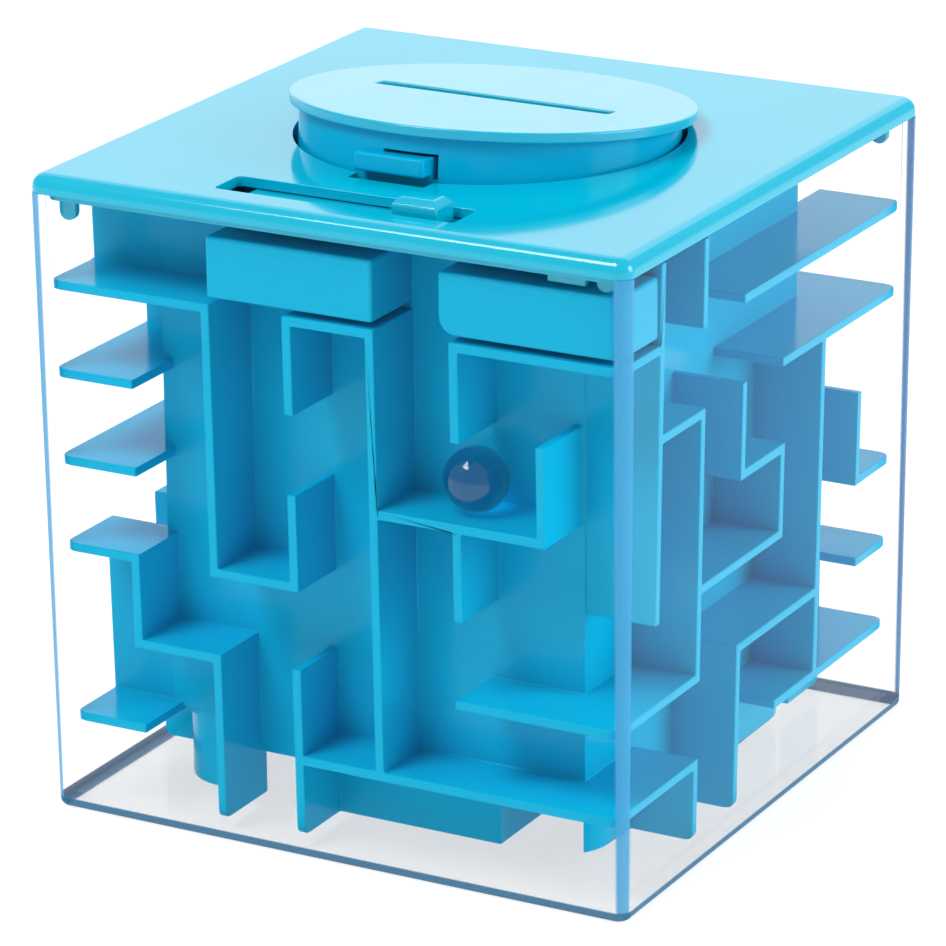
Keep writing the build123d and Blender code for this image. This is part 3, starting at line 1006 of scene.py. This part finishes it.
@dataclass
class MazeCore:
    """The blue core: a square tube on a rounded foot, with the maze moulded on its four sides."""

    finishes: Finishes
    pitch: float = 12.5
    grid_half: float = 43.75
    lid_level: float = 88.1
    wall: float = 1.3
    core_wall: float = 1.4
    foot_corner: float = 7.0
    shelf_corner: float = 1.6
    post_foot: float = 1.2
    corner_lap: float = 0.5
    wall_lap: float = 0.5
    foot_lap: float = 0.4
    floor_lap: float = 0.3
    rib_lap: float = 0.6
    window_in: float = 4.0
    window_out: float = 2.0
    outer_low: float = 41.8
    taper: float = 0.0175
    drawn_half: float = 43.0
    post_top: float = 87.2
    window_top: float = 8.7

    def __post_init__(self) -> None:
        """Read the core's own limits from the frame."""
        x, _, z = limits("core_shell")
        self.core_half = x[1]
        self.core_top = z[1]
        self.foot_top = z[0]
        self.foot = limits("core_skirt")[2][0]
        self.root = self.core_half - self.core_wall / 2

    def line(self, index: float) -> float:
        """Where a grid line lies across a face."""
        return self.pitch * index - self.grid_half

    def level(self, index: float) -> float:
        """How high a grid level lies."""
        return self.lid_level - self.pitch * index

    def walls(self, face: FaceMaze) -> Shape:
        """One face's shelves and posts.

        Args:
            face: the face's layout.

        Returns:
            The overlapping walls.
        """
        half = self.wall / 2
        limit = self.drawn_half if face.owns_corners else self.root + self.corner_lap
        depth = (-self.drawn_half, -self.root)
        shelves, posts = Shape(), Shape()
        ends: list[tuple[Shape, list[bmesh.types.BMEdge], float]] = []
        for level, first, last in face.shelves:
            low = max(self.line(first) - half, -limit)
            high = min(self.line(last) + half, limit)
            height = self.level(level)
            verts = shelves.block((low, high), depth, (height - half, height + half))
            ends.append((shelves, shelves.edges_of(verts, lambda middle, way: abs(way.z) > 0.9 and
                                                   middle.y < -self.root - 1 and
                                                   abs(middle.x) > self.drawn_half - 0.1), self.shelf_corner))
        for index, top_level, bottom_level in face.posts:
            top = self.post_top if top_level == 0 else self.level(top_level) + half
            bottom = self.foot if bottom_level == 7 else self.level(bottom_level) - half
            verts = posts.block((self.line(index) - half, self.line(index) + half), depth, (bottom, top))
            if bottom_level == 7:
                ends.append((posts, posts.edges_of(verts, lambda middle, way: abs(way.x) > 0.9 and
                                                   middle.y < -self.root - 1 and middle.z < self.foot + 1),
                             self.post_foot))
        for shape, edges, radius in ends:
            shape.round_edges(edges, radius, 4)
        return shelves.combine(posts, Mix.UNION).move(Matrix.Rotation(math.radians(face.turn_deg), 4, "Z"))

    def tube(self, corner: float, bottom: float, top: float) -> Shape:
        """A square tube with round upright edges.

        Args:
            corner: its outer corner radius, or 0.
            bottom: its low end.
            top: its high end.

        Returns:
            The tube.
        """
        shapes = []
        for inset, spare in ((0.0, 0.0), (self.core_wall, 1.0)):
            half = self.core_half - inset
            shape = Shape()
            verts = shape.block((-half, half), (-half, half), (bottom - spare, top + spare))
            if corner:
                upright = shape.edges_of(verts, lambda middle, way: abs(way.z) > 0.9)
                shape.round_edges(upright, corner - inset, 8)
            shapes.append(shape)
        return shapes[0].combine(shapes[1], Mix.DIFFERENCE)

    def body(self) -> Shape:
        """The tube, its windowed foot, the compartment's floor and the ribs under it.

        Returns:
            The body of the core.
        """
        foot = self.tube(self.foot_corner, self.foot, self.foot_top + self.foot_lap)
        half = self.wall / 2
        through = (self.core_half - self.window_in, self.core_half + self.window_out)
        height = (self.foot - self.window_out, self.window_top)
        windows = Shape()
        for first, last in ((2, 3), (5, 6)):
            windows.block((self.line(first) + half, self.line(last) - half), (-through[1], -through[0]),
                          height)
        windows.block((-self.pitch / 2, self.pitch / 2), through, height)
        windows.block((-through[1], -through[0]), (self.line(4) + half, self.line(5) - half), height)
        foot = foot.combine(windows, Mix.DIFFERENCE)
        body = self.tube(0, self.foot_top, self.core_top).combine(foot, Mix.UNION)
        inside = self.core_half - self.core_wall + self.wall_lap
        floor = Shape()
        _, _, floor_z = limits("core_floor")
        floor.block((-inside, inside), (-inside, inside), (floor_z[0] + self.floor_lap, floor_z[1]))
        ribs = Shape()
        rib_z = (self.foot, floor_z[0] + self.rib_lap)
        ribs.block((self.line(5) - half, self.line(5) + half), (-inside, self.line(4)), rib_z)
        ribs.block((self.line(2) - half, self.line(2) + half), (self.line(3), inside), rib_z)
        ribs.block((self.line(3), self.line(4)), (-half, half), rib_z)
        return body.combine(floor, Mix.UNION).combine(ribs, Mix.UNION)

    def tapered(self, shape: Shape) -> Shape:
        """Draw the maze in towards its foot, as the box is drafted.

        Args:
            shape: the walls as drawn.

        Returns:
            The same shape, tapered.
        """
        reach = self.drawn_half - self.core_half
        for vert in shape.bm.verts:
            wanted = self.outer_low + self.taper * vert.co.z - self.core_half
            for axis in (0, 1):
                over = abs(vert.co[axis]) - self.core_half
                if over > 0.05:
                    vert.co[axis] = math.copysign(self.core_half + over * wanted / reach, vert.co[axis])
        return shape

    def build(self) -> None:
        """Make the whole moulding as one piece, with its large faces split before its edges are rounded."""
        core = self.body()
        for face in (FRONT, RIGHT, BACK, LEFT):
            core = core.combine(self.walls(face), Mix.UNION)
        bmesh.ops.triangulate(core.bm, faces=[side for side in core.bm.faces if len(side.verts) > 4],
                              quad_method="BEAUTY", ngon_method="BEAUTY")
        place_piece("maze_core", self.tapered(core), self.finishes.blue, Body.CASE,
                    ["core_shell", "core_skirt", "core_floor", "under_core_ribs", "front_maze_walls",
                     "right_maze_walls", "back_maze_walls", "left_maze_walls"],
                    Edging(0.18, 2, 30.0, clamped=False))


@dataclass
class GateBlocks:
    """The two solid blocks at the top of the front face, either side of the ball's gate."""

    finishes: Finishes

    def build(self) -> None:
        """Make both blocks."""
        for name, node, radius in (("gate_left", "gate_block_left", 0.0),
                                   ("gate_right", "gate_block_right", 2.4)):
            x, y, z = limits(node)
            shape = Shape()
            verts = shape.block(x, (y[0], y[1] + 0.3), z)
            if radius:
                low = shape.edges_of(verts, lambda m, way: abs(way.y) > 0.9 and m.z < z[0] + 0.1 and
                                     m.x < x[0] + 0.1)
                shape.round_edges(low, radius, 6)
                outer = [e for e in shape.bm.edges if all(v.co.y < y[0] + 0.01 and v.co.x > x[1] - 0.01
                                                          for v in e.verts)]
                shape.round_edges(outer, 1.5, 5)
            place_piece(name, shape, self.finishes.blue, Body.CASE, [node], Edging(0.5, 4, 30.0))


@dataclass
class Marble:
    """The one ball."""

    finishes: Finishes

    def build(self) -> None:
        """Make the marble as a fine round mesh."""
        x, y, z = limits("ball")
        shape = Shape()
        centre = Vector([(low + high) / 2 for low, high in (x, y, z)])
        bmesh.ops.create_icosphere(shape.bm, subdivisions=6, radius=(x[1] - x[0]) / 2,
                                   matrix=Matrix.Translation(centre))
        place_piece("marble", shape, self.finishes.marble, Body.MARBLE, ["ball"], None)


@dataclass
class Studio:
    """The floor, the soft light and the camera."""

    target: Point = (-1.371, -1.836, 42.292)
    azimuth_deg: float = 28.845
    elevation_deg: float = 19.268
    roll_deg: float = -0.561
    distance: float = 728.31
    sensor_mm: float = 36.0
    lens_mm: float = 199.02748
    shift: float = 0.0015856
    glow: float = 0.50
    lamps: tuple[tuple[str, Point, Point, float, float], ...] = (
        ("key", (-0.34, -0.62, 1.10), (0, 0, 0.05), 0.5, 9.5),
        ("side", (1.15, 0.35, 0.45), (0, 0, 0.05), 0.7, 9.0),
        ("backdrop", (-0.75, 1.35, 0.75), (0, 0, 0.3), 2.4, 16.5))

    def camera(self) -> None:
        """Make the camera at the object's usual three-quarter view."""
        azimuth, elevation = math.radians(self.azimuth_deg), math.radians(self.elevation_deg)
        back = Vector((math.sin(azimuth) * math.cos(elevation), -math.cos(azimuth) * math.cos(elevation),
                       math.sin(elevation)))
        right = Vector((math.cos(azimuth), math.sin(azimuth), 0.0))
        up = back.cross(right)
        turn = Matrix((right, up, back)).transposed() @ Matrix.Rotation(math.radians(self.roll_deg), 3, "Z")
        data = bpy.data.cameras.new("camera")
        data.sensor_width = self.sensor_mm
        data.lens = self.lens_mm
        data.shift_x = data.shift_y = self.shift
        data.clip_start = 0.01
        camera = bpy.data.objects.new("camera", data)
        spot = Vector(self.target) + back * self.distance
        camera.matrix_world = Matrix.Translation(spot * MM) @ turn.to_4x4()
        bpy.context.scene.collection.objects.link(camera)
        bpy.context.scene.camera = camera

    def lamp(self, name: str, place: Point, aim: Point, size: float, power: float) -> None:
        """Add a soft square lamp.

        Args:
            name: its name.
            place: where it stands, in metres.
            aim: the point that it faces.
            size: its side.
            power: its power, in watts.
        """
        data = bpy.data.lights.new(name, "AREA")
        data.shape = "SQUARE"
        data.size = size
        data.energy = power
        lamp = bpy.data.objects.new(name, data)
        way = (Vector(aim) - Vector(place)).to_track_quat("-Z", "Y")
        lamp.matrix_world = Matrix.Translation(place) @ way.to_matrix().to_4x4()
        bpy.context.scene.collection.objects.link(lamp)

    def floor(self) -> None:
        """Lay the floor."""
        mesh = bpy.data.meshes.new("studio_floor")
        work = bmesh.new()
        bmesh.ops.create_grid(work, x_segments=1, y_segments=1, size=6.0)
        work.to_mesh(mesh)
        work.free()
        mesh.materials.append(MattFloor().build())
        floor = bpy.data.objects.new("studio_floor", mesh)
        bpy.context.scene.collection.objects.link(floor)

    def world(self) -> None:
        """Fill the room with soft white light."""
        world = bpy.data.worlds.new("studio")
        world.use_nodes = True
        bpy.context.scene.world = world
        sheet = NodeSheet(world.node_tree)
        glow = sheet.add("ShaderNodeBackground", {}, {"Color": (1.0, 1.0, 1.0, 1.0), "Strength": self.glow})
        sheet.output(glow, "ShaderNodeOutputWorld")
        bpy.context.scene.view_settings.view_transform = "Standard"

    def build(self) -> None:
        """Set the whole studio up."""
        self.camera()
        self.floor()
        self.world()
        for lamp in self.lamps:
            self.lamp(*lamp)


def main() -> None:
    """Load the frame and build every piece round it."""
    logging.basicConfig(level=logging.INFO, format="%(name)s %(message)s")
    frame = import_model()
    Studio().build()
    finishes = Finishes.mix()
    hinge = next(joint for joint in frame["joints"] if joint["type"] == "hinge")
    for piece in (ClearBox(finishes), MazeCore(finishes), GateBlocks(finishes), Lid(finishes),
                  Hatch(finishes, hinge), SlideLatch(finishes), Marble(finishes)):
        piece.build()
        LOG.info("%s is done", type(piece).__name__)


if __name__ == "__main__":
    main()
